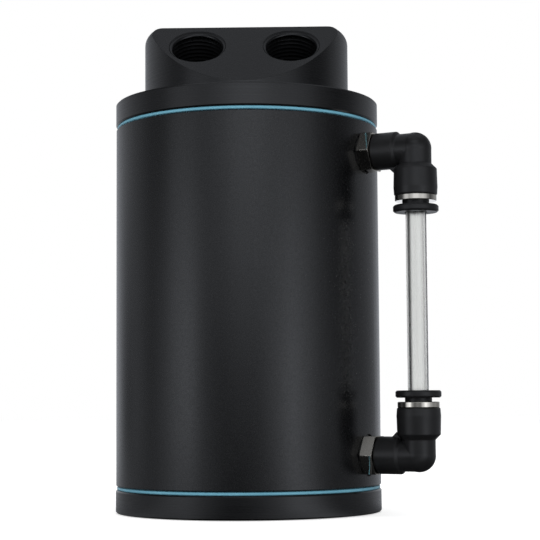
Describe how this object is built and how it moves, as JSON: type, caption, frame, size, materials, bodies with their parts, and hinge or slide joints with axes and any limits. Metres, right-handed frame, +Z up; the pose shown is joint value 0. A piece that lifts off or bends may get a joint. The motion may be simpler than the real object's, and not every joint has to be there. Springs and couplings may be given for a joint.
{
  "type": "oil catch can",
  "caption": "Black anodised engine breather catch can with a sloping port boss, blue seal rings and a sight tube.",
  "frame": {"origin": "centre of the base, on the can's axis", "axes": "+Z up along the can's axis, -Y the way the two hose ports face, +X towards the sight tube's side"},
  "size_m": [0.0965, 0.0802, 0.1461],
  "materials": {
    "black_body": "bead-blasted, black anodised, satin",
    "black_caps": "turned and milled, black anodised, satin",
    "blue_seal": "smooth blue silicone",
    "nickel": "nickel-plated brass",
    "black_plastic": "moulded, fine satin",
    "clear_tube": "clear flexible tube, slightly milky",
    "black_rubber": "smooth nitrile",
    "steel": "bright, lightly brushed"
  },
  "bodies": {
    "can": {"can_body": "black_body", "upper_stud": "nickel", "upper_stud_washer": "black_rubber", "upper_stud_ring": "black_rubber", "upper_elbow": "black_plastic", "upper_tube_seal": "black_rubber", "upper_claw": "steel", "upper_guide_ring": "nickel", "lower_stud": "nickel", "lower_stud_washer": "black_rubber", "lower_stud_ring": "black_rubber", "lower_elbow": "black_plastic", "lower_tube_seal": "black_rubber", "lower_claw": "steel", "lower_guide_ring": "nickel", "sight_tube": "clear_tube"},
    "top_seal": {"top_seal": "blue_seal"},
    "top_cap": {"top_cap": "black_caps", "dip_tube": "steel", "baffle_plate": "steel", "baffle_standoffs": "nickel", "baffle_screws": "steel"},
    "bottom_seal": {"bottom_seal": "blue_seal"},
    "bottom_cap": {"bottom_cap": "black_caps"},
    "drain_washer": {"drain_washer": "steel"},
    "drain_plug": {"drain_plug": "nickel"},
    "upper_collar": {"upper_release_collar": "black_plastic"},
    "lower_collar": {"lower_release_collar": "black_plastic"}
  },
  "joints": [
    {"name": "top_cap_lift", "type": "slide", "parent": "can", "child": "top_seal", "axis": [0, 0, 1], "range_m": [0, 0.004]},
    {"name": "top_cap_turn", "type": "hinge", "parent": "top_seal", "child": "top_cap", "pos_m": [0, 0, 0], "axis": [0, 0, 1], "range_deg": [0, 1440]},
    {"name": "bottom_cap_lift", "type": "slide", "parent": "can", "child": "bottom_seal", "axis": [0, 0, -1], "range_m": [0, 0.004]},
    {"name": "bottom_cap_turn", "type": "hinge", "parent": "bottom_seal", "child": "bottom_cap", "pos_m": [0, 0, 0], "axis": [0, 0, -1], "range_deg": [0, 1440]},
    {"name": "drain_plug_lift", "type": "slide", "parent": "bottom_cap", "child": "drain_washer", "axis": [0, 0, -1], "range_m": [0, 0.00525]},
    {"name": "drain_plug_turn", "type": "hinge", "parent": "drain_washer", "child": "drain_plug", "pos_m": [0, 0, 0], "axis": [0, 0, -1], "range_deg": [0, 1260]},
    {"name": "upper_collar_press", "type": "slide", "parent": "can", "child": "upper_collar", "axis": [0, 0, 1], "range_m": [0, 0.00105], "stiffness_N_per_m": 500},
    {"name": "lower_collar_press", "type": "slide", "parent": "can", "child": "lower_collar", "axis": [0, 0, -1], "range_m": [0, 0.00105], "stiffness_N_per_m": 500}
  ],
  "couplings": [
    {"joint": "top_cap_turn", "follows": "top_cap_lift", "rad_per_m": 6283.2},
    {"joint": "bottom_cap_turn", "follows": "bottom_cap_lift", "rad_per_m": 6283.2},
    {"joint": "drain_plug_turn", "follows": "drain_plug_lift", "rad_per_m": 4188.8}
  ]
}
